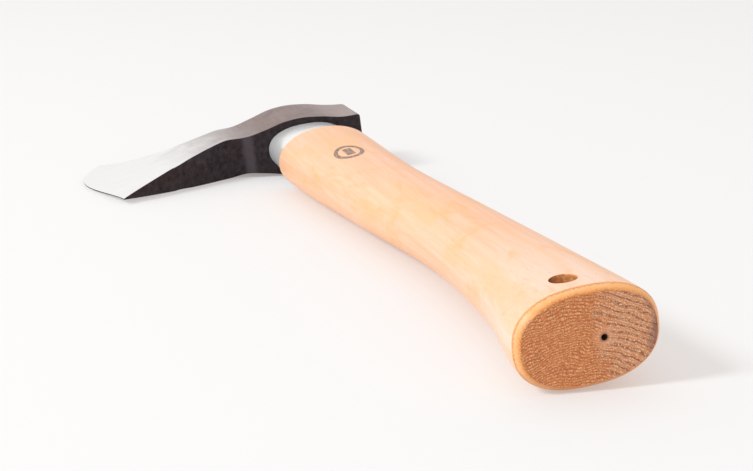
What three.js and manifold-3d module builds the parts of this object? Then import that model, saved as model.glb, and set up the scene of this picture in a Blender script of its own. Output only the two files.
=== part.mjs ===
// Camping hatchet lying on its side: a forged head on a wooden handle, with a steel collar between them
// and two wedges in the top of the eye.
//
// The axe is drawn straight, in millimetres: X runs along the handle from the butt to the top of the
// head, Y from the poll to the cutting edge and Z across the thickness. One group lays it down, rolled so
// that the butt, the shoulder and the heel of the bit touch the floor z = 0.
import * as THREE from 'three';
import { mergeVertices } from 'three/addons/utils/BufferGeometryUtils.js';
import Module from 'manifold-3d';

const wasm = await Module();
wasm.setup();

const { clamp, degToRad, lerp, smoothstep } = THREE.MathUtils;

const FIT_GAP = 0.3; // clearance between neighbouring pieces

// Handle
const SHOULDER_X = 325; // from the butt face to the shoulder under the collar
const BUTT_CHAMFER = { length: 3.2, depth: 2.1 };
const SHOULDER_ROUNDING = 3.4;
const HANDLE_LENGTHS = [0, 49, 130, 228, SHOULDER_X];
const HANDLE_HALF_WIDTHS = [26, 21.5, 18, 20.5, 24.6];
const HANDLE_HALF_THICKNESSES = [17.5, 16, 14.4, 14.6, 15.8];
const HANDLE_SWAY = [0, -2.7, -2.2, 5.2, 8.6]; // middle of the handle, towards the edge
const BUTT_POWER = 2.4; // superellipse power: 2 is an ellipse, higher is squarer
const SHOULDER_POWER = 2.1;
const HANDLE_FACETS = 48;
const HANDLE_STATIONS = 27;

// Lanyard hole through the butt
const LANYARD_X = 14.5;
const LANYARD_Y = 2;
const LANYARD_RADIUS = 4.8;

// Eye, tongue and collar: ovals on one line, which the sizes of the head are measured from
const EYE_Y = 10; // the eye's line, from the middle of the butt
const EYE_POWER = 2.3;
const EYE = { halfWidth: 19, halfThickness: 9 };
const EYE_FLARE = 1.05; // the eye is wider at the top, so that the wedges lock the head
const COLLAR_LENGTH = 32.5;
const COLLAR_FOOT = { halfWidth: 21.4, halfThickness: 12.4 };
const COLLAR_TOP = { halfWidth: 21, halfThickness: 11.7 };
const EYE_FACETS = 40;

// Head: X from its underside at the eye, Y from the eye's line
const POLL_Y = -31;
const BEVEL_Y = 76; // where the ground bevel starts
const BOSS = { height: 1.5, from: 26, to: 37 }; // the underside stands lower round the eye
const BEARD = { from: 43, slope: 0.77, rounding: 5 }; // the underside drops away towards the heel
const TOP_YS = [POLL_Y, -20, 0, 20, 38, 58, 80, 97, 109];
const TOP_XS = [34.5, 40.5, 41.3, 39, 33, 24.8, 22, 28.5, 40];
const EDGE = { heel: 104, toe: 108, bulge: 12, skew: 1.25 };
const HALF_THICKNESS_YS = [POLL_Y, -21, -10, 1, 11, 22, 33, 43, 50, 65, BEVEL_Y];
const HALF_THICKNESSES = [11.6, 11.7, 13.8, 15, 14.3, 11.7, 9.8, 10.2, 9.6, 7.6, 5.9];
const EDGE_HALF_THICKNESS = 0.25;
const BEVEL_FULLNESS = 0.9; // below 1 the bevel is slightly rounded
const CORNER_CHAMFER = 0.9;
const POLL_ROUNDING = 2;
const CHEEK_SPANS = 12; // facets across a cheek, from underside to top
const CHEEK_STATIONS = 22; // facets along a cheek, from the poll to the bevel
const HEAD_TOP = Math.max(...TOP_XS);

// Tongue and wedges, from the top of the tongue
const TONGUE_PROUD = 1.2; // how far the tongue stands out of the eye
const TONGUE_TOP_X = SHOULDER_X + COLLAR_LENGTH + HEAD_TOP + TONGUE_PROUD;
const WOOD_WEDGE = { length: 33, depth: 38, top: 4.6, tip: 1.6 };
const STEEL_WEDGE = { length: 13, depth: 20, top: 2.6, tip: 0.9 };

// Resting attitude
const REST_ROLL = degToRad(-7.4);
const REST_PITCH = degToRad(0.14);

// A smooth curve through named values, as a function of one length.
function smooth(positions, values) {
  const curve = new THREE.CubicInterpolant(positions, values, 1, new Float32Array(1));
  return (at) => curve.evaluate(at)[0];
}

// The same closed shape with only its corners, each one shared by the faces that meet there.
function weld(geometry) {
  geometry.deleteAttribute('normal');
  geometry.deleteAttribute('uv');
  return mergeVertices(geometry);
}

function toSolid(geometry) {
  const vertProperties = new Float32Array(geometry.getAttribute('position').array);
  const triVerts = new Uint32Array(geometry.index.array);
  return new wasm.Manifold(new wasm.Mesh({ numProp: 3, vertProperties, triVerts }));
}

function toGeometry(solid) {
  const mesh = solid.getMesh();
  const geometry = new THREE.BufferGeometry();
  geometry.setAttribute('position', new THREE.BufferAttribute(mesh.vertProperties.slice(), 3));
  geometry.setIndex(new THREE.BufferAttribute(mesh.triVerts.slice(), 1));
  return geometry;
}

// A bar along X through a list of oval sections: a cylinder whose rings are drawn out to fit them.
function ovalBar(sections, facets) {
  const spans = sections.length - 1;
  const bar = weld(new THREE.CylinderGeometry(1, 1, 1, facets, spans));
  const corners = bar.getAttribute('position');
  for (let i = 0; i < corners.count; i += 1) {
    const section = sections[Math.round((0.5 - corners.getY(i)) * spans)];
    const squarer = (c) => Math.sign(c) * Math.abs(c) ** (2 / section.power);
    const y = section.middle + section.halfWidth * squarer(corners.getX(i));
    corners.setXYZ(i, section.x, y, section.halfThickness * squarer(corners.getZ(i)));
  }
  return bar;
}

const handleHalfWidth = smooth(HANDLE_LENGTHS, HANDLE_HALF_WIDTHS);
const handleHalfThickness = smooth(HANDLE_LENGTHS, HANDLE_HALF_THICKNESSES);
const handleSway = smooth(HANDLE_LENGTHS, HANDLE_SWAY);

function handleSection(x, inset) {
  return {
    x,
    middle: handleSway(x),
    halfWidth: handleHalfWidth(x) - inset,
    halfThickness: handleHalfThickness(x) - inset,
    power: lerp(BUTT_POWER, SHOULDER_POWER, x / SHOULDER_X),
  };
}

// The grip, from the chamfered butt to the rounded shoulder.
function grip() {
  const sections = [handleSection(0, BUTT_CHAMFER.depth)];
  const last = SHOULDER_X - SHOULDER_ROUNDING;
  for (let i = 0; i < HANDLE_STATIONS; i += 1) {
    sections.push(handleSection(lerp(BUTT_CHAMFER.length, last, i / (HANDLE_STATIONS - 1)), 0));
  }
  for (const turn of [25, 50, 72, 90].map(degToRad)) {
    const x = last + SHOULDER_ROUNDING * Math.sin(turn);
    sections.push(handleSection(x, SHOULDER_ROUNDING * (1 - Math.cos(turn))));
  }
  return ovalBar(sections, HANDLE_FACETS);
}

// A section on the eye's line: the size of the oval, times a flare, plus a clearance.
function eyeSection(x, size, flare, clearance) {
  return {
    x,
    middle: 0,
    halfWidth: size.halfWidth * flare + clearance,
    halfThickness: size.halfThickness * flare + clearance,
    power: EYE_POWER,
  };
}

// The tongue fills the collar and the eye, and stands a little proud of the head. X = 0 is the shoulder.
function tongue() {
  const rounding = 0.5;
  const top = COLLAR_LENGTH + HEAD_TOP + TONGUE_PROUD;
  return ovalBar([
    eyeSection(-1, EYE, 1, -FIT_GAP),
    eyeSection(COLLAR_LENGTH, EYE, 1, -FIT_GAP),
    eyeSection(COLLAR_LENGTH + HEAD_TOP, EYE, EYE_FLARE, -FIT_GAP),
    eyeSection(top - rounding, EYE, EYE_FLARE, -FIT_GAP),
    eyeSection(top, EYE, EYE_FLARE, -FIT_GAP - rounding),
  ], EYE_FACETS);
}

// A tapered wedge: its top face is at X = 0, its tip points to -X and its length lies along Z.
function wedge({ length, depth, top, tip }, clearance) {
  const outline = new THREE.Shape();
  outline.moveTo(clearance, -top / 2 - clearance);
  outline.lineTo(clearance, top / 2 + clearance);
  outline.lineTo(-depth - clearance, tip / 2 + clearance);
  outline.lineTo(-depth - clearance, -tip / 2 - clearance);
  outline.closePath();
  const between = length + 2 * clearance;
  const geometry = new THREE.ExtrudeGeometry(outline, { depth: between, bevelEnabled: false });
  return weld(geometry.translate(0, 0, -between / 2));
}

function handleSolid() {
  const hole = weld(new THREE.CylinderGeometry(LANYARD_RADIUS, LANYARD_RADIUS, 60, 28));
  const woodSlot = wedge(WOOD_WEDGE, FIT_GAP).rotateX(Math.PI / 2);
  const steelSlot = wedge(STEEL_WEDGE, FIT_GAP);
  return toSolid(grip())
    .add(toSolid(tongue().translate(SHOULDER_X, EYE_Y, 0)))
    .subtract(toSolid(hole.rotateX(Math.PI / 2).translate(LANYARD_X, LANYARD_Y, 0)))
    .subtract(toSolid(woodSlot.translate(TONGUE_TOP_X, EYE_Y, 0)))
    .subtract(toSolid(steelSlot.translate(TONGUE_TOP_X, EYE_Y, 0)));
}

const topX = smooth(TOP_YS, TOP_XS);
const headHalfThickness = smooth(HALF_THICKNESS_YS, HALF_THICKNESSES);

// The underside is level round the eye, steps back over the boss, then falls away to the heel.
function undersideX(y) {
  const past = y - BEARD.from;
  const drop = (BEARD.slope * (past + Math.hypot(past, BEARD.rounding))) / 2;
  return BOSS.height * smoothstep(y, BOSS.from, BOSS.to) - drop;
}

// The cutting edge: a bow from the heel (share 0) to the toe (share 1), fullest nearer the toe.
function edgeY(share) {
  return lerp(EDGE.heel, EDGE.toe, share) + EDGE.bulge * Math.sin(Math.PI * share ** EDGE.skew);
}

// The stations of the head: the rounded poll, the body (0 to 1) and the bevel (0 to 1).
function headStations() {
  const rounding = POLL_ROUNDING / (BEVEL_Y - POLL_Y);
  const stations = [
    { body: 0, bevel: 0, inset: POLL_ROUNDING },
    { body: rounding * 0.3, bevel: 0, inset: POLL_ROUNDING * 0.35 },
  ];
  for (let i = 0; i <= CHEEK_STATIONS; i += 1) {
    stations.push({ body: lerp(rounding, 1, i / CHEEK_STATIONS), bevel: 0, inset: 0 });
  }
  for (const bevel of [0.2, 0.4, 0.6, 0.8, 0.92, 1]) {
    stations.push({ body: 1, bevel, inset: 0 });
  }
  return stations;
}

// The head without its eye: a box whose grid is drawn out to the stations. Its first and last columns
// are the underside and the top, set in by the corner chamfer.
function headBlock() {
  const stations = headStations();
  const rows = stations.length - 1;
  const columns = CHEEK_SPANS + 2;
  const block = weld(new THREE.BoxGeometry(1, 1, 1, columns, rows, 1));
  const corners = block.getAttribute('position');
  for (let i = 0; i < corners.count; i += 1) {
    const column = Math.round((corners.getX(i) + 0.5) * columns);
    const { body, bevel, inset } = stations[Math.round((corners.getY(i) + 0.5) * rows)];
    const along = (share) => lerp(lerp(POLL_Y, BEVEL_Y, body), edgeY(share), bevel);
    const thickness = headHalfThickness(lerp(POLL_Y, BEVEL_Y, body));
    const half = lerp(EDGE_HALF_THICKNESS, thickness, (1 - bevel) ** BEVEL_FULLNESS) - inset;
    const chamfer = Math.min(CORNER_CHAMFER, half * 0.45);
    const outer = column === 0 || column === columns;
    const share = clamp((column - 1) / CHEEK_SPANS, 0, 1);
    const edgeShift = outer ? 0 : chamfer * ((share === 0) - (share === 1));
    const x = lerp(undersideX(along(0)) + inset, topX(along(1)) - inset, share) + edgeShift;
    corners.setXYZ(i, x, along(share), Math.sign(corners.getZ(i)) * (outer ? half - chamfer : half));
  }
  return block;
}

function headSolid() {
  const eye = ovalBar([
    eyeSection(-3, EYE, 1, 0),
    eyeSection(0, EYE, 1, 0),
    eyeSection(HEAD_TOP, EYE, EYE_FLARE, 0),
    eyeSection(HEAD_TOP + 3, EYE, EYE_FLARE, 0),
  ], EYE_FACETS);
  return toSolid(headBlock()).subtract(toSolid(eye));
}

// The collar is a plain oval sleeve, chamfered at both ends. X = 0 is its foot on the shoulder.
function collarSolid() {
  const chamfer = 0.5;
  const length = COLLAR_LENGTH - 2 * FIT_GAP;
  const shell = ovalBar([
    eyeSection(0, COLLAR_FOOT, 1, -chamfer),
    eyeSection(chamfer, COLLAR_FOOT, 1, 0),
    eyeSection(length - chamfer, COLLAR_TOP, 1, 0),
    eyeSection(length, COLLAR_TOP, 1, -chamfer),
  ], EYE_FACETS);
  const bore = ovalBar([eyeSection(-1, EYE, 1, 0), eyeSection(length + 1, EYE, 1, 0)], EYE_FACETS);
  return toSolid(shell).subtract(toSolid(bore));
}

function woodWedgeSolid() {
  const slot = wedge(STEEL_WEDGE, FIT_GAP).rotateX(Math.PI / 2);
  return toSolid(wedge(WOOD_WEDGE, 0)).subtract(toSolid(slot));
}

function piece(name, geometry, color, metalness, roughness) {
  const material = new THREE.MeshStandardMaterial({ color, metalness, roughness });
  const mesh = new THREE.Mesh(geometry, material);
  mesh.name = name;
  return mesh;
}

const handle = piece('handle', toGeometry(handleSolid()), 0xe8b48a, 0, 0.5);

const head = piece('head', toGeometry(headSolid()), 0x6a6266, 0.9, 0.4);
head.position.set(SHOULDER_X + COLLAR_LENGTH, EYE_Y, 0);

const collar = piece('collar', toGeometry(collarSolid()), 0xc9c7c4, 1, 0.2);
collar.position.set(SHOULDER_X + FIT_GAP, EYE_Y, 0);

// The wedges share the top of the tongue; the wooden one lies along it and the steel one across.
const wedges = new THREE.Group();
wedges.position.set(TONGUE_TOP_X, EYE_Y, 0);
const woodWedge = piece('wood_wedge', toGeometry(woodWedgeSolid()), 0xa8774a, 0, 0.6);
woodWedge.rotation.x = Math.PI / 2;
const steelWedge = piece('steel_wedge', wedge(STEEL_WEDGE, 0), 0x8b8b8b, 1, 0.35);
wedges.add(woodWedge, steelWedge);

const axe = new THREE.Group();
axe.add(handle, head, collar, wedges);
axe.rotation.set(REST_ROLL, REST_PITCH, 0, 'YXZ');

// The origin is under the middle of the laid-down axe.
const hatchet = new THREE.Group();
hatchet.name = 'hatchet';
hatchet.add(axe);
const box = new THREE.Box3().setFromObject(hatchet, true);
const middle = box.getCenter(new THREE.Vector3());
axe.position.set(-middle.x, -middle.y, -box.min.z);

export default hatchet;
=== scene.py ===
"""A camping hatchet lying on its side: the looks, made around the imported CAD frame.

The axe is drawn straight, in millimetres: X from the butt to the top of the head, Y from the poll
to the cutting edge and Z across the thickness. axe_matrix() then lays it where the CAD handle lies.
"""
import math

import bmesh
import bpy
from mathutils import Euler, Matrix, Vector


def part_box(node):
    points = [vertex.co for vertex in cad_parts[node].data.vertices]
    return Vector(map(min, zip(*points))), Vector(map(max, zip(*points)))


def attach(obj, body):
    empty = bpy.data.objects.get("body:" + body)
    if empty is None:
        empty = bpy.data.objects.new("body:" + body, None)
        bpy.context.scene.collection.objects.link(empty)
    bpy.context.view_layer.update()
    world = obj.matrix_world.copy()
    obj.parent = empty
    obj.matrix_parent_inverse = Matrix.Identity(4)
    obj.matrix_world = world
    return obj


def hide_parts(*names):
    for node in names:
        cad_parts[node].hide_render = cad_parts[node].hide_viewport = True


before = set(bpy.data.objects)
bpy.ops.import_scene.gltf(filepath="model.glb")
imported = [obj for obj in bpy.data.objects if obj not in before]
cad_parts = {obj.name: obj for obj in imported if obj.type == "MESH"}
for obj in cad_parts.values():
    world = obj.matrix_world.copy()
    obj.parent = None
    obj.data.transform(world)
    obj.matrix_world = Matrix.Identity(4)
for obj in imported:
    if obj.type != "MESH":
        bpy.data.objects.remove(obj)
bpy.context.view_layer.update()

MM = 0.001
FIT_GAP = 0.3

# Handle, in millimetres
SHOULDER_X = 325
BUTT_CHAMFER_LENGTH, BUTT_CHAMFER_DEPTH = 3.2, 2.1
BUTT_CHAMFER_BOW = 1.25
SHOULDER_ROUNDING = 3.4
HANDLE_LENGTHS = [0, 49, 130, 228, SHOULDER_X]
HANDLE_HALF_WIDTHS = [26, 21.5, 18, 20.5, 24.6]
HANDLE_HALF_THICKNESSES = [17.5, 16, 14.4, 14.6, 15.8]
HANDLE_SWAY = [0, -2.7, -2.2, 5.2, 8.6]
BUTT_POWER = 2.4
SHOULDER_POWER = 2.1
LANYARD_X, LANYARD_Y, LANYARD_RADIUS = 14.5, 2, 4.8
LANYARD_ARRIS = 0.35
KNOT_Y, KNOT_Z, KNOT_RADIUS, KNOT_DEPTH = -5, -0.5, 1.2, 5
MARK_X, MARK_Y = 261, 10.5
MARK_HALF_LENGTH, MARK_HALF_WIDTH = 12, 7

# Eye, tongue and collar: (half width, half thickness) of ovals on the eye's line
EYE_Y = 10
EYE_POWER = 2.3
EYE = (19, 9)
EYE_FLARE = 1.05
COLLAR_LENGTH = 32.5
COLLAR_FOOT = (21.4, 12.4)
COLLAR_TOP = (21, 11.7)
COLLAR_CHAMFER = 0.5
HEAD_X = SHOULDER_X + COLLAR_LENGTH

# Head: X from its underside at the eye, Y from the eye's line
POLL_Y = -31
BEVEL_Y = 76
BOSS_HEIGHT, BOSS_FROM, BOSS_TO = 1.5, 26, 37
BEARD_FROM, BEARD_SLOPE, BEARD_ROUNDING = 43, 0.77, 5
TOP_YS = [POLL_Y, -20, 0, 20, 38, 58, 80, 97, 109]
TOP_XS = [34.5, 40.5, 41.3, 39, 33, 24.8, 22, 28.5, 40]
EDGE_HEEL, EDGE_TOE, EDGE_BULGE, EDGE_SKEW = 104, 108, 12, 1.25
HALF_THICKNESS_YS = [POLL_Y, -21, -10, 1, 11, 22, 33, 43, 50, 65, BEVEL_Y]
HALF_THICKNESSES = [11.6, 11.7, 13.8, 15, 14.3, 11.7, 9.8, 10.2, 9.6, 7.6, 5.9]
EDGE_HALF_THICKNESS = 0.25
BEVEL_FULLNESS = 0.9
CORNER_ROUNDING = 0.5
POLL_ROUNDING = 2
HEAD_TOP = max(TOP_XS)
CHEEK_NORMAL = 0.9  # faces that look more sideways than this were ground
TONGUE_PROUD = 1.2
TONGUE_ROUNDING = 0.5
TONGUE_TOP = HEAD_X + HEAD_TOP + TONGUE_PROUD

# How finely the meshes are divided
HANDLE_POINTS, HANDLE_STATIONS, CHAMFER_STEPS = 160, 220, 6
EYE_POINTS = 96
HOLE_POINTS, KNOT_POINTS = 64, 16
CHEEK_SPANS, BODY_STEPS, BEVEL_STEPS = 40, 120, 36
CREASE_ANGLE = 28

# Resting attitude, and the camera in metres and degrees
REST_ROLL = math.radians(-7.4)
REST_PITCH = math.radians(0.14)
CAMERA_PLACE = (-0.6578, 0.1497, 0.1782)
CAMERA_PITCH = 14.21
CAMERA_YAW = 15.66
FOCAL_LENGTHS_PER_WIDTH = 1600 / 753
SENSOR_WIDTH = 36

# Stage, in metres and watts
FLOOR_HALF_SIZE = 12
FLOOR_COLOR = (0.60, 0.592, 0.588)
FLOOR_GLOW, FLOOR_GLOW_STRENGTH = (1, 0.972, 0.962), 0.28
SURROUND, SURROUND_STRENGTH = (1, 0.982, 0.974), 0.84
KEY_PLACE, KEY_SIZE, KEY_POWER, KEY_COLOR = (-0.5, 2.5, 1.95), 0.85, 56.0, (0.88, 0.97, 1.0)


def smooth(positions, values):
    """A smooth curve through named values, as a function of one length."""
    last = len(positions) - 1

    def value(at):
        i = 1
        while i < last and at > positions[i]:
            i += 1
        start, end = positions[i - 1], positions[i]
        before = positions[i - 2] if i > 1 else 2 * start - end
        after = positions[i + 1] if i < last else 2 * end - start
        value_before = values[i - 2] if i > 1 else values[i]
        value_after = values[i + 1] if i < last else values[i - 1]
        half = (end - start) / 2
        wp, wn = half / (start - before), half / (after - end)
        p = (at - start) / (end - start)
        return (
            (-wp * p**3 + 2 * wp * p**2 - wp * p) * value_before
            + ((1 + wp) * p**3 + (-1.5 - 2 * wp) * p**2 + (wp - 0.5) * p + 1) * values[i - 1]
            + ((-1 - wn) * p**3 + (1.5 + wn) * p**2 + 0.5 * p) * values[i]
            + (wn * p**3 - wn * p**2) * value_after
        )

    return value


handle_half_width = smooth(HANDLE_LENGTHS, HANDLE_HALF_WIDTHS)
handle_half_thickness = smooth(HANDLE_LENGTHS, HANDLE_HALF_THICKNESSES)
handle_sway = smooth(HANDLE_LENGTHS, HANDLE_SWAY)
top_x = smooth(TOP_YS, TOP_XS)
head_half_thickness = smooth(HALF_THICKNESS_YS, HALF_THICKNESSES)


def lerp(a, b, share):
    return a + (b - a) * share


def oval(x, y, half_width, half_thickness, power, count):
    """One oval ring across the handle line, at length x."""
    ring = []
    for i in range(count):
        angle = 2 * math.pi * i / count
        c, s = math.cos(angle), math.sin(angle)
        across = math.copysign(abs(c) ** (2 / power), c) * half_width
        up = math.copysign(abs(s) ** (2 / power), s) * half_thickness
        ring.append((x, y + across, up))
    return ring


def handle_ring(x, inset, count):
    power = lerp(BUTT_POWER, SHOULDER_POWER, x / SHOULDER_X)
    half_width = handle_half_width(x) - inset
    half_thickness = handle_half_thickness(x) - inset
    return oval(x, handle_sway(x), half_width, half_thickness, power, count)


def eye_oval(x, size, flare, clearance):
    half_width = size[0] * flare + clearance
    half_thickness = size[1] * flare + clearance
    return oval(x, EYE_Y, half_width, half_thickness, EYE_POWER, EYE_POINTS)


def circle(x, y, z, radius, count, across_x=True):
    """A ring of points round a hole along Z, or along X."""
    angles = [2 * math.pi * i / count for i in range(count)]
    if across_x:
        return [(x + radius * math.cos(a), y + radius * math.sin(a), z) for a in angles]
    return [(x, y + radius * math.cos(a), z + radius * math.sin(a)) for a in angles]


def axe_matrix():
    """From the straight axe in millimetres to the row frame in metres."""
    turn = Euler((REST_ROLL, REST_PITCH, 0), "XYZ").to_matrix().to_4x4()
    butt_face = [turn @ Vector(p) for p in handle_ring(0, BUTT_CHAMFER_DEPTH, EYE_POINTS)]
    butt = [turn @ Vector(p) for p in handle_ring(BUTT_CHAMFER_LENGTH, 0, EYE_POINTS)]
    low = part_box("handle")[0]
    drawn_low = (min(p.x for p in butt_face), min(p.y for p in butt), min(p.z for p in butt))
    shift = Vector([place / MM - drawn for place, drawn in zip(low, drawn_low)])
    return Matrix.Scale(MM, 4) @ Matrix.Translation(shift) @ turn


AXE = axe_matrix()


def loft(name, rings, materials, pick=lambda normal, middle: 0):
    """A closed mesh through rings of equal count. pick() says which material a face has."""
    count = len(rings[0])
    faces = []
    for r in range(len(rings) - 1):
        for i in range(count):
            a, b = r * count + i, r * count + (i + 1) % count
            faces.append((a, b, b + count, a + count))
    faces.append(tuple(reversed(range(count))))
    faces.append(tuple(range((len(rings) - 1) * count, len(rings) * count)))
    mesh = bpy.data.meshes.new(name)
    mesh.from_pydata([p for ring in rings for p in ring], [], faces)
    for material in materials:
        mesh.materials.append(material)
    shape = bmesh.new()
    shape.from_mesh(mesh)
    bmesh.ops.recalc_face_normals(shape, faces=shape.faces)
    for face in shape.faces:
        face.smooth = True
        face.material_index = pick(face.normal, face.calc_center_median())
    shape.to_mesh(mesh)
    shape.free()
    mesh.transform(AXE)
    piece = bpy.data.objects.new(name, mesh)
    bpy.context.scene.collection.objects.link(piece)
    return piece


def crease(piece):
    """Keeps the shading sharp across real arrises."""
    shape = bmesh.new()
    shape.from_mesh(piece.data)
    for edge in shape.edges:
        edge.smooth = edge.calc_face_angle(0) < math.radians(CREASE_ANGLE)
    shape.to_mesh(piece.data)
    shape.free()


def apply_modifiers(piece):
    bpy.context.view_layer.update()
    shape = piece.evaluated_get(bpy.context.evaluated_depsgraph_get())
    mesh = bpy.data.meshes.new_from_object(shape)
    piece.modifiers.clear()
    piece.data = mesh


def cut(piece, cutter):
    """Cuts the cutter's shape out of the piece and removes the cutter."""
    modifier = piece.modifiers.new("cut", "BOOLEAN")
    modifier.object = cutter
    modifier.operation = "DIFFERENCE"
    modifier.solver = "EXACT"
    modifier.material_mode = "TRANSFER"
    apply_modifiers(piece)
    bpy.data.objects.remove(cutter)


class Nodes:
    """A short way to write a material's nodes."""

    def __init__(self, name):
        self.material = bpy.data.materials.new(name)
        self.material.use_nodes = True
        self.tree = self.material.node_tree
        self.shader = self.tree.nodes["Principled BSDF"]
        coordinates = self.tree.nodes.new("ShaderNodeTexCoord")
        self.place = self.axe_place(coordinates.outputs["Object"])

    def add(self, kind, inputs=None, **settings):
        node = self.tree.nodes.new(kind)
        for key, value in settings.items():
            setattr(node, key, value)
        for key, value in (inputs or {}).items():
            self.give(node.inputs[key], value)
        return node

    def give(self, socket, value):
        if isinstance(value, bpy.types.NodeSocket):
            self.tree.links.new(value, socket)
        else:
            socket.default_value = value

    def axe_place(self, place):
        """The place on the straight axe, in millimetres."""
        back = AXE.inverted()
        mapping = self.add("ShaderNodeMapping", {"Vector": place}, vector_type="POINT")
        mapping.inputs["Scale"].default_value = back.to_scale()
        mapping.inputs["Rotation"].default_value = back.to_euler()
        mapping.inputs["Location"].default_value = back.to_translation()
        return mapping.outputs["Vector"]

    def stretched(self, scale):
        """The place, scaled by its own factor along each axis."""
        return self.add("ShaderNodeMapping", {"Vector": self.place, "Scale": scale}).outputs["Vector"]

    def noise(self, place, scale, detail=3, roughness=0.5, distortion=0.0):
        inputs = {
            "Vector": place,
            "Scale": scale,
            "Detail": detail,
            "Roughness": roughness,
            "Distortion": distortion,
        }
        return self.add("ShaderNodeTexNoise", inputs).outputs["Fac"]

    def math(self, operation, a, b=0.0):
        return self.add("ShaderNodeMath", {0: a, 1: b}, operation=operation).outputs[0]

    def plus(self, a, b):
        return self.math("ADD", a, b)

    def minus(self, a, b):
        return self.math("SUBTRACT", a, b)

    def times(self, a, b):
        return self.math("MULTIPLY", a, b)

    def size(self, a):
        return self.math("ABSOLUTE", a)

    def radius(self, a, b):
        return self.math("SQRT", self.plus(self.times(a, a), self.times(b, b)))

    def span(self, value, low, high, to_low=0.0, to_high=1.0, smooth_step=False):
        """Maps low..high to to_low..to_high, held at the ends."""
        kind = "SMOOTHSTEP" if smooth_step else "LINEAR"
        inputs = {"Value": value, 1: low, 2: high, 3: to_low, 4: to_high}
        return self.add("ShaderNodeMapRange", inputs, interpolation_type=kind).outputs[0]

    def mix(self, share, a, b):
        """Colour a where share is 0 and colour b where it is 1."""
        node = self.add("ShaderNodeMix", data_type="RGBA")
        factor, first, second = node.inputs[0], node.inputs[6], node.inputs[7]
        self.give(factor, share)
        self.give(first, (*a, 1) if isinstance(a, tuple) else a)
        self.give(second, (*b, 1) if isinstance(b, tuple) else b)
        return node.outputs[2]

    def ramp(self, value, *stops):
        node = self.add("ShaderNodeValToRGB", {"Fac": value})
        elements = node.color_ramp.elements
        while len(elements) < len(stops):
            elements.new(0.5)
        for element, (position, color) in zip(elements, stops):
            element.position = position
            element.color = (*color, 1)
        return node.outputs["Color"]

    def axes(self):
        node = self.add("ShaderNodeSeparateXYZ", {0: self.place})
        return node.outputs[0], node.outputs[1], node.outputs[2]

    def bump(self, height, distance, strength=1.0):
        inputs = {"Height": height, "Distance": distance * MM, "Strength": strength}
        self.give(self.shader.inputs["Normal"], self.add("ShaderNodeBump", inputs).outputs[0])

    def finish(self, color, roughness, metallic=0.0, **sockets):
        self.give(self.shader.inputs["Base Color"], color)
        self.give(self.shader.inputs["Roughness"], roughness)
        self.shader.inputs["Metallic"].default_value = metallic
        for key, value in sockets.items():
            self.shader.inputs[key.replace("_", " ")].default_value = value
        return self.material


def wood_side():
    """Pale oiled hardwood: long streaks, warmer patches, short pores and a burned-in mark."""
    warm, orange = (0.93, 0.50, 0.235), (0.94, 0.455, 0.19)
    painted_light_pale, brown = (0.93, 0.66, 0.51), (0.82, 0.42, 0.20)
    pore_brown, burned = (0.66, 0.29, 0.11), (0.12, 0.08, 0.06)
    n = Nodes("handle_wood")
    x, y, z = n.axes()
    streaks = n.noise(n.stretched((0.014, 0.5, 0.5)), 1.0, 4, 0.6, 0.4)
    fine = n.noise(n.stretched((0.05, 1.7, 1.7)), 1.0, 3, 0.6, 0.2)
    broad = n.noise(n.stretched((0.012, 0.07, 0.07)), 1.0, 3, 0.5, 0.8)
    patches = n.noise(n.stretched((0.035, 0.09, 0.09)), 1.0, 4, 0.6, 1.2)
    pores = n.noise(n.stretched((0.2, 3.0, 3.0)), 1.0, 2, 0.6)
    color = n.ramp(
        streaks,
        (0.3, (0.91, 0.48, 0.285)),
        (0.5, (0.935, 0.525, 0.33)),
        (0.7, (0.965, 0.58, 0.39)),
    )
    # Painted light: the wood is made paler towards the butt.
    color = n.mix(n.span(x, 20, 90, 0.8, 0.0), color, painted_light_pale)
    color = n.mix(n.span(broad, 0.46, 0.66, 0.0, 0.6), color, warm)
    color = n.mix(n.span(patches, 0.52, 0.68, 0.0, 0.7), color, orange)
    color = n.mix(n.span(fine, 0.5, 0.75, 0.0, 0.26), color, brown)
    near_butt = n.span(x, 20, 150, 1.0, 0.45)
    pore = n.times(n.span(pores, 0.62, 0.72, 0.0, 0.6), near_butt)
    color = n.mix(pore, color, pore_brown)
    color = n.mix(n.times(burned_mark(n, x, y, z), 0.9), color, burned)
    n.bump(n.minus(n.times(fine, 0.35), pore), 0.05, 0.5)
    return n.finish(color, n.span(streaks, 0.3, 0.7, 0.5, 0.42), Coat_Weight=0.1, Coat_Roughness=0.3)


def burned_mark(n, x, y, z):
    """A plain oval ring with a bar in it, on the upper side near the shoulder."""
    along = n.math("DIVIDE", n.minus(x, MARK_X), MARK_HALF_LENGTH)
    across = n.math("DIVIDE", n.minus(y, MARK_Y), MARK_HALF_WIDTH)
    ring = n.span(n.size(n.minus(n.radius(along, across), 0.86)), 0.11, 0.17, 1.0, 0.0)
    bar_length = n.span(n.size(along), 0.48, 0.52, 1.0, 0.0)
    bar_width = n.span(n.size(across), 0.24, 0.34, 1.0, 0.0)
    patchy = n.span(n.noise(n.stretched((0.3, 1.2, 1.2)), 1.0, 3), 0.3, 0.55, 0.55, 1.0)
    ink = n.times(n.math("MAXIMUM", ring, n.times(bar_length, bar_width)), patchy)
    return n.times(ink, n.math("GREATER_THAN", z, 0.0))


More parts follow.
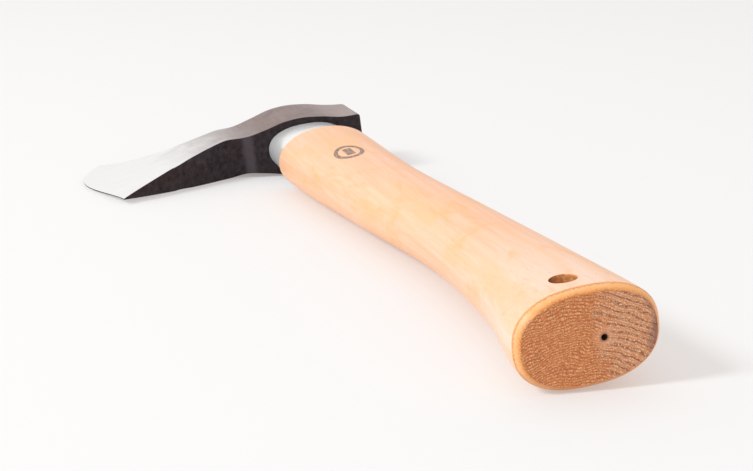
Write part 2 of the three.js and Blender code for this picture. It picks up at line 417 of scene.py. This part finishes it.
def wood_chamfer():
    """The sanded chamfer: an orange line at each arris where the oil soaked in, and painted shade that
    makes it browner underneath.
    """
    orange, brown = (0.92, 0.40, 0.11), (0.62, 0.24, 0.07)
    n = Nodes("handle_chamfer")
    x, _, z = n.axes()
    ragged = n.noise(n.stretched((0.2, 1.6, 1.6)), 1.0, 3, 0.7)
    share = n.plus(n.math("DIVIDE", x, BUTT_CHAMFER_LENGTH), n.span(ragged, 0.3, 0.7, -0.16, 0.16))
    color = n.ramp(
        share,
        (0.0, (0.46, 0.15, 0.04)),
        (0.2, (0.80, 0.33, 0.09)),
        (0.42, (0.93, 0.46, 0.18)),
        (0.7, (0.95, 0.53, 0.26)),
        (0.84, (0.64, 0.22, 0.045)),
        (0.98, (0.88, 0.43, 0.17)),
    )
    patches = n.noise(n.stretched((0.0, 0.12, 0.12)), 1.0, 3, 0.6)
    color = n.mix(n.span(patches, 0.45, 0.65, 0.0, 0.5), color, orange)
    # Painted shade: the chamfer is made browner towards its underside.
    underside_painted_shade = n.span(n.plus(z, n.span(patches, 0.3, 0.7, -5.0, 5.0)), -15.0, -6.0, 0.6, 0.1)
    return n.finish(n.mix(underside_painted_shade, color, brown), 0.45)


def end_grain():
    """Oiled end grain: fine wavy rows of pale pores, with coarser stripes in the half next to the poll."""
    n = Nodes("butt_end_grain")
    _, y, z = n.axes()
    level = ring_level(n, y, z)
    from_row = n.size(n.minus(n.times(n.math("FRACT", level), 2.0), 1.0))
    in_row = n.span(from_row, 0.2, 0.85, 1.0, 0.3)
    cells = n.add("ShaderNodeCombineXYZ", {1: n.times(y, 1.7), 2: n.times(level, 2.6)})
    pore = n.add("ShaderNodeTexVoronoi", {"Vector": cells.outputs[0], "Scale": 1.0})
    speck = n.times(n.span(pore.outputs["Distance"], 0.2, 0.55, 1.0, 0.0), in_row)

    color = outer_wood(n, from_row, in_row, speck)
    drift = n.span(n.noise(n.stretched((0.0, 0.16, 0.16)), 1.0, 2), 0.3, 0.7, -4.0, 4.0)
    heart = n.span(n.plus(y, drift), -8.0, -2.5, 1.0, 0.0)
    color = n.mix(n.times(heart, 0.85), color, heart_wood(n, level, from_row, speck))
    rim = n.span(n.plus(y, n.times(drift, 0.4)), -23.5, -19.5, 0.7, 0.0)
    color = n.mix(rim, color, (0.13, 0.055, 0.055))
    n.bump(n.minus(n.times(from_row, -0.3), speck), 0.1, 0.4)
    return n.finish(knot_halo(n, y, z, color), 0.55)


def ring_level(n, y, z):
    """A height, in millimetres, that the rows of pores follow: bowed, tilted a little and rippled."""
    warp = n.noise(n.stretched((0.0, 0.10, 0.10)), 1.0, 2, 0.5)
    ripple = n.noise(n.stretched((0.0, 0.5, 0.6)), 1.0, 3, 0.6)
    bow = n.times(n.math("POWER", n.size(n.minus(y, 7)), 1.8), 0.024)
    level = n.plus(n.plus(z, bow), n.times(y, -0.04))
    level = n.plus(level, n.times(warp, 5.0))
    return n.plus(level, n.times(ripple, 0.9))


def outer_wood(n, from_row, in_row, speck):
    """The finer, more orange wood in the half next to the edge."""
    between, in_row_color, pore_color = (0.30, 0.078, 0.02), (0.86, 0.38, 0.14), (1.0, 0.57, 0.28)
    mottle = n.noise(n.stretched((0.0, 0.3, 0.3)), 1.0, 5, 0.8)
    color = n.ramp(
        mottle,
        (0.3, (0.42, 0.105, 0.022)),
        (0.55, (0.56, 0.158, 0.036)),
        (0.75, (0.68, 0.225, 0.055)),
    )
    color = n.mix(n.span(from_row, 0.45, 0.95, 0.0, 0.7), color, between)
    color = n.mix(n.times(in_row, 0.15), color, in_row_color)
    return n.mix(n.times(speck, 0.85), color, pore_color)


def heart_wood(n, level, from_row, speck):
    """The paler wood next to the poll, in coarse stripes."""
    pale, dark = (0.64, 0.27, 0.115), (0.23, 0.07, 0.036)
    between, pore_color = (0.26, 0.10, 0.06), (1.0, 0.69, 0.45)
    band = n.math("FRACT", n.times(level, 0.40))
    dark_band = n.span(n.size(n.minus(band, 0.5)), 0.26, 0.46, 0.0, 1.0)
    stripe = n.mix(dark_band, pale, dark)
    stripe = n.mix(n.span(from_row, 0.6, 1.0, 0.0, 0.45), stripe, between)
    return n.mix(n.times(speck, 0.9), stripe, pore_color)


def knot_halo(n, y, z, color):
    """A dark lip round the knot hole and paler wood round that."""
    from_knot = n.radius(n.minus(y, KNOT_Y), n.minus(z, KNOT_Z))
    pale = n.span(from_knot, KNOT_RADIUS + 0.6, KNOT_RADIUS + 3.4, 0.45, 0.0)
    color = n.mix(pale, color, (0.80, 0.42, 0.24))
    lip = n.span(from_knot, KNOT_RADIUS, KNOT_RADIUS + 0.8, 0.75, 0.0)
    return n.mix(lip, color, (0.22, 0.07, 0.03))


def bored_wood():
    """The wall of the lanyard hole, with painted shade on the side next to the edge."""
    n = Nodes("bored_wood")
    _, y, _ = n.axes()
    grain = n.noise(n.stretched((0.25, 0.9, 0.9)), 1.0, 4, 0.6)
    color = n.ramp(grain, (0.3, (0.50, 0.16, 0.045)), (0.7, (0.90, 0.42, 0.16)))
    ragged_y = n.plus(y, n.span(grain, 0.3, 0.7, -0.8, 0.8))
    # Painted shade: darkens the wall on the side next to the edge.
    painted_shade_side = n.span(ragged_y, LANYARD_Y + 1, LANYARD_Y + 3.5, 0.0, 0.8)
    color = n.mix(painted_shade_side, color, (0.10, 0.03, 0.015))
    n.bump(grain, 0.1, 0.5)
    return n.finish(color, 0.6)


def knot_heart():
    n = Nodes("knot_heart")
    grain = n.noise(n.place, 1.5, 3, 0.6)
    color = n.ramp(grain, (0.3, (0.02, 0.008, 0.006)), (0.7, (0.07, 0.03, 0.02)))
    return n.finish(color, 0.7)


def forged_black():
    """Forge scale on the faces that were not ground, with a painted highlight: a greyer strip beside the
    eye, over the slope of the boss.
    """
    highlight_y, highlight_grey = EYE_Y + 31.5, (0.085, 0.07, 0.08)
    n = Nodes("forge_scale")
    _, y, _ = n.axes()
    scale = n.noise(n.place, 0.35, 5, 0.65)
    dents = n.noise(n.place, 0.09, 2, 0.4)
    color = n.ramp(scale, (0.3, (0.017, 0.012, 0.015)), (0.75, (0.056, 0.043, 0.047)))
    # Painted highlight: lightens a strip over the slope of the boss, beside the eye.
    boss_slope_highlight = n.span(n.size(n.minus(y, highlight_y)), 1.5, 3.8, 0.8, 0.0)
    color = n.mix(boss_slope_highlight, color, highlight_grey)
    n.bump(n.plus(n.times(scale, 0.35), dents), 0.5, 0.5)
    return n.finish(color, n.span(scale, 0.3, 0.7, 0.52, 0.38), metallic=0.8)


def ground_cheek():
    """Cheeks ground by hand: mottled by the eye, cleaner towards the poll and bright towards the bit."""
    cloudy, clean, pitted = (0.15, 0.098, 0.09), (0.55, 0.46, 0.43), (0.16, 0.13, 0.13)
    n = Nodes("ground_cheek")
    _, y, _ = n.axes()
    lines = n.noise(n.stretched((0.05, 3.0, 3.0)), 1.0, 3, 0.6)
    hones = n.noise(n.stretched((2.4, 0.05, 0.05)), 1.0, 3, 0.6)
    cloud = n.noise(n.place, 0.07, 5, 0.65, 0.5)
    pits = n.noise(n.place, 0.5, 3, 0.6)
    color = n.ramp(lines, (0.3, (0.225, 0.155, 0.142)), (0.7, (0.38, 0.28, 0.255)))
    color = n.mix(n.span(cloud, 0.42, 0.72, 0.0, 0.75), color, cloudy)
    color = n.mix(n.span(y, EYE_Y - 24, EYE_Y - 8, 0.5, 0.0), color, clean)
    color = n.mix(n.span(pits, 0.62, 0.74, 0.0, 0.4), color, pitted)
    wander = n.span(cloud, 0.3, 0.7, -9.0, 9.0)
    bright = n.span(n.plus(y, wander), EYE_Y + 18, EYE_Y + 84, 0.0, 1.0, smooth_step=True)
    polish = n.ramp(hones, (0.3, (0.90, 0.885, 0.875)), (0.7, (0.99, 0.985, 0.98)))
    color = n.mix(bright, color, polish)
    n.bump(n.mix(bright, lines, hones), 0.03, 0.35)
    return n.finish(color, n.span(bright, 0.0, 1.0, 0.42, 0.28), metallic=0.65)


def collar_steel():
    """Turned and buffed steel, with fine lines round the sleeve and a few soft smears."""
    n = Nodes("collar_steel")
    lines = n.noise(n.stretched((2.0, 0.08, 0.08)), 1.0, 2, 0.5)
    smears = n.noise(n.place, 0.12, 3, 0.5)
    color = n.ramp(lines, (0.3, (0.90, 0.875, 0.86)), (0.65, (1.0, 0.985, 0.975)))
    color = n.mix(n.span(smears, 0.5, 0.75, 0.0, 0.2), color, (0.78, 0.75, 0.73))
    n.bump(lines, 0.03, 0.4)
    return n.finish(color, n.span(smears, 0.3, 0.7, 0.14, 0.26), metallic=0.45)


def wedge_wood():
    n = Nodes("wedge_wood")
    grain = n.noise(n.stretched((0.06, 0.5, 2.2)), 1.0, 4, 0.6, 0.3)
    pores = n.noise(n.stretched((0.3, 1.8, 3.0)), 1.0, 2, 0.6)
    color = n.ramp(grain, (0.3, (0.30, 0.13, 0.05)), (0.7, (0.52, 0.27, 0.12)))
    color = n.mix(n.span(pores, 0.6, 0.72, 0.0, 0.5), color, (0.16, 0.06, 0.03))
    n.bump(grain, 0.06, 0.5)
    return n.finish(color, 0.6)


def wedge_steel():
    n = Nodes("wedge_steel")
    scale = n.noise(n.place, 0.6, 4, 0.65)
    lines = n.noise(n.stretched((0.4, 4.0, 4.0)), 1.0, 2, 0.5)
    color = n.ramp(scale, (0.3, (0.30, 0.29, 0.29)), (0.7, (0.52, 0.51, 0.50)))
    n.bump(n.plus(scale, lines), 0.04, 0.4)
    return n.finish(color, n.span(scale, 0.3, 0.7, 0.45, 0.3), metallic=0.95)


def grip_rings():
    """From the butt, over its chamfer and along the grip, to the rounded shoulder."""
    rings = []
    for i in range(CHAMFER_STEPS):
        share = i / CHAMFER_STEPS
        inset = BUTT_CHAMFER_DEPTH * (1 - share) ** BUTT_CHAMFER_BOW
        rings.append(handle_ring(BUTT_CHAMFER_LENGTH * share, inset, HANDLE_POINTS))
    flat_end = SHOULDER_X - SHOULDER_ROUNDING
    for i in range(HANDLE_STATIONS + 1):
        x = lerp(BUTT_CHAMFER_LENGTH, flat_end, i / HANDLE_STATIONS)
        rings.append(handle_ring(x, 0, HANDLE_POINTS))
    for turn in (math.radians(angle) for angle in range(10, 100, 10)):
        x = flat_end + SHOULDER_ROUNDING * math.sin(turn)
        rings.append(handle_ring(x, SHOULDER_ROUNDING * (1 - math.cos(turn)), HANDLE_POINTS))
    return rings


def make_grip():
    def pick(normal, middle):
        if normal.x < -0.95:
            return 2
        return 1 if middle.x < BUTT_CHAMFER_LENGTH else 0

    piece = loft("handle_grip", grip_rings(), [wood_side(), wood_chamfer(), end_grain()], pick)
    cut(piece, lanyard_hole())
    cut(piece, knot_hole())
    crease(piece)
    return piece


def lanyard_hole():
    """A cutter right through the butt, opening out at both mouths to break their arris."""
    side_z = handle_half_thickness(LANYARD_X)
    arris = LANYARD_ARRIS
    mouth = [(side_z - arris, 0), (side_z, arris), (side_z + 1, arris + 1)]
    steps = [(-z, out) for z, out in reversed(mouth)] + mouth
    hole = [circle(LANYARD_X, LANYARD_Y, z, LANYARD_RADIUS + out, HOLE_POINTS) for z, out in steps]
    return loft("cutter", hole, [bored_wood()])


def knot_hole():
    depths = [(-1, 1.0), (0.6, 0.9), (KNOT_DEPTH, 0.3)]
    hole = [circle(x, KNOT_Y, KNOT_Z, KNOT_RADIUS * size, KNOT_POINTS, False) for x, size in depths]
    return loft("cutter", hole, [knot_heart()])


def make_tongue(side, butt):
    """The part of the handle inside the collar and the eye, slotted for the wedges."""
    rings = [
        eye_oval(SHOULDER_X - 1, EYE, 1, -FIT_GAP),
        eye_oval(HEAD_X, EYE, 1, -FIT_GAP),
        eye_oval(HEAD_X + HEAD_TOP, EYE, EYE_FLARE, -FIT_GAP),
        eye_oval(TONGUE_TOP - TONGUE_ROUNDING, EYE, EYE_FLARE, -FIT_GAP),
        eye_oval(TONGUE_TOP, EYE, EYE_FLARE, -FIT_GAP - TONGUE_ROUNDING),
    ]
    piece = loft("handle_tongue", rings, [side, butt], lambda normal, _: 1 if normal.x > 0.5 else 0)
    for node in ("wood_wedge", "steel_wedge"):
        cut(piece, wedge_slot(node, side))
    crease(piece)
    return piece


def wedge_slot(node, material):
    """A cutter that is a CAD wedge grown by the clearance on every side."""
    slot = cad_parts[node].copy()
    slot.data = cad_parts[node].data.copy()
    bpy.context.scene.collection.objects.link(slot)
    shape = bmesh.new()
    shape.from_mesh(slot.data)
    bmesh.ops.remove_doubles(shape, verts=shape.verts, dist=0.01 * MM)
    bmesh.ops.dissolve_limit(shape, angle_limit=math.radians(1), verts=shape.verts, edges=shape.edges)
    shape.normal_update()
    for vert, outward in [(v, sum((f.normal for f in v.link_faces), Vector())) for v in shape.verts]:
        vert.co += outward * FIT_GAP * MM
    shape.to_mesh(slot.data)
    shape.free()
    slot.data.materials.clear()
    slot.data.materials.append(material)
    return slot


def make_collar():
    foot, top = SHOULDER_X + FIT_GAP, HEAD_X - FIT_GAP
    rings = [
        eye_oval(foot, COLLAR_FOOT, 1, -COLLAR_CHAMFER),
        eye_oval(foot + COLLAR_CHAMFER, COLLAR_FOOT, 1, 0),
        eye_oval(top - COLLAR_CHAMFER, COLLAR_TOP, 1, 0),
        eye_oval(top, COLLAR_TOP, 1, -COLLAR_CHAMFER),
    ]
    steel = collar_steel()
    piece = loft("collar_sleeve", rings, [steel])
    cut(piece, loft("cutter", [eye_oval(foot - 1, EYE, 1, 0), eye_oval(top + 1, EYE, 1, 0)], [steel]))
    crease(piece)
    return piece


def underside_x(y):
    """Level round the eye, a step back over the boss, then a fall away to the heel."""
    share = min(max((y - BOSS_FROM) / (BOSS_TO - BOSS_FROM), 0), 1)
    past = y - BEARD_FROM
    drop = BEARD_SLOPE * (past + math.hypot(past, BEARD_ROUNDING)) / 2
    return BOSS_HEIGHT * share * share * (3 - 2 * share) - drop


def edge_y(share):
    return lerp(EDGE_HEEL, EDGE_TOE, share) + EDGE_BULGE * math.sin(math.pi * share**EDGE_SKEW)


def head_ring(body, bevel, inset):
    """One closed ring round the head, at a place along the body or, past it, along the bevel."""

    def along(share):
        return lerp(lerp(POLL_Y, BEVEL_Y, body), edge_y(share), bevel)

    thick = head_half_thickness(lerp(POLL_Y, BEVEL_Y, body))
    half = lerp(EDGE_HALF_THICKNESS, thick, (1 - bevel) ** BEVEL_FULLNESS) - inset
    radius = min(CORNER_ROUNDING, half * 0.45)
    low, high = underside_x(along(0)) + inset, top_x(along(1)) - inset
    corner = []
    for turn in (math.radians(angle) for angle in (0, 30, 60)):
        corner.append((radius * (1 - math.cos(turn)), half - radius * (1 - math.sin(turn))))
    side = [(0, dx, z) for dx, z in corner]
    for i in range(CHEEK_SPANS + 1):
        share = i / CHEEK_SPANS
        side.append((share, radius * (1 - 2 * share), half))
    side += [(1, -dx, z) for dx, z in reversed(corner)]
    upper = [(HEAD_X + lerp(low, high, share) + dx, EYE_Y + along(share), z) for share, dx, z in side]
    return upper + [(x, y, -z) for x, y, z in reversed(upper)]


def head_rings():
    """From the rounded poll, along the body and the bevel, to the cutting edge."""
    rings = []
    body_length = BEVEL_Y - POLL_Y
    for turn in (math.radians(angle) for angle in (0, 25, 50, 70)):
        body = POLL_ROUNDING * (1 - math.cos(turn)) / body_length
        rings.append(head_ring(body, 0, POLL_ROUNDING * (1 - math.sin(turn))))
    for i in range(BODY_STEPS + 1):
        rings.append(head_ring(lerp(POLL_ROUNDING / body_length, 1, i / BODY_STEPS), 0, 0))
    for i in range(BEVEL_STEPS):
        rings.append(head_ring(1, (i + 1) / BEVEL_STEPS, 0))
    return rings


def make_head():
    cheek, black = ground_cheek(), forged_black()
    piece = loft(
        "axe_head", head_rings(), [cheek, black], lambda normal, _: 0 if abs(normal.z) > CHEEK_NORMAL else 1
    )
    eye = [
        eye_oval(HEAD_X - 3, EYE, 1, 0),
        eye_oval(HEAD_X, EYE, 1, 0),
        eye_oval(HEAD_X + HEAD_TOP, EYE, EYE_FLARE, 0),
        eye_oval(HEAD_X + HEAD_TOP + 3, EYE, EYE_FLARE, 0),
    ]
    cut(piece, loft("cutter", eye, [black]))
    crease(piece)
    return piece


def make_floor():
    """A plain pale floor, lit a little from below."""
    material = bpy.data.materials.new("floor")
    material.use_nodes = True
    shader = material.node_tree.nodes["Principled BSDF"]
    shader.inputs["Base Color"].default_value = (*FLOOR_COLOR, 1)
    shader.inputs["Emission Color"].default_value = (*FLOOR_GLOW, 1)
    shader.inputs["Emission Strength"].default_value = FLOOR_GLOW_STRENGTH
    shader.inputs["Roughness"].default_value = 0.8
    shader.inputs["Specular IOR Level"].default_value = 0.2
    mesh = bpy.data.meshes.new("floor")
    far = FLOOR_HALF_SIZE
    corners = [(-far, -far, 0), (far, -far, 0), (far, far, 0), (-far, far, 0)]
    mesh.from_pydata(corners, [], [(0, 1, 2, 3)])
    mesh.materials.append(material)
    floor = bpy.data.objects.new("floor", mesh)
    bpy.context.scene.collection.objects.link(floor)


def make_light():
    """An even, nearly white surround and one soft light behind the hatchet."""
    world = bpy.data.worlds.new("surround")
    world.use_nodes = True
    background = world.node_tree.nodes["Background"]
    background.inputs["Color"].default_value = (*SURROUND, 1)
    background.inputs["Strength"].default_value = SURROUND_STRENGTH
    bpy.context.scene.world = world
    data = bpy.data.lights.new("key", "AREA")
    data.shape = "DISK"
    data.size = KEY_SIZE
    data.energy = KEY_POWER
    data.color = KEY_COLOR
    light = bpy.data.objects.new("key", data)
    light.location = KEY_PLACE
    light.rotation_euler = (-Vector(KEY_PLACE)).to_track_quat("-Z", "Y").to_euler()
    bpy.context.scene.collection.objects.link(light)
    bpy.context.scene.view_settings.view_transform = "Standard"


def make_camera():
    data = bpy.data.cameras.new("camera")
    data.sensor_width = SENSOR_WIDTH
    data.lens = FOCAL_LENGTHS_PER_WIDTH * SENSOR_WIDTH
    data.clip_start, data.clip_end = 0.01, 100
    camera = bpy.data.objects.new("camera", data)
    pitch, yaw = math.radians(CAMERA_PITCH), math.radians(CAMERA_YAW)
    forward = Vector((math.cos(yaw) * math.cos(pitch), -math.sin(yaw) * math.cos(pitch), -math.sin(pitch)))
    camera.location = CAMERA_PLACE
    camera.rotation_euler = forward.to_track_quat("-Z", "Y").to_euler()
    bpy.context.scene.collection.objects.link(camera)
    bpy.context.scene.camera = camera


def own(piece):
    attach(piece, "root")
    return piece


make_camera()
make_floor()
make_light()
grip = own(make_grip())
own(make_tongue(grip.data.materials[0], grip.data.materials[2]))
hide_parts("handle")
head = own(make_head())
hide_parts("head")
collar = own(make_collar())
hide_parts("collar")
for name, finish in (("wood_wedge", wedge_wood), ("steel_wedge", wedge_steel)):
    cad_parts[name].data.materials.clear()
    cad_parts[name].data.materials.append(finish())
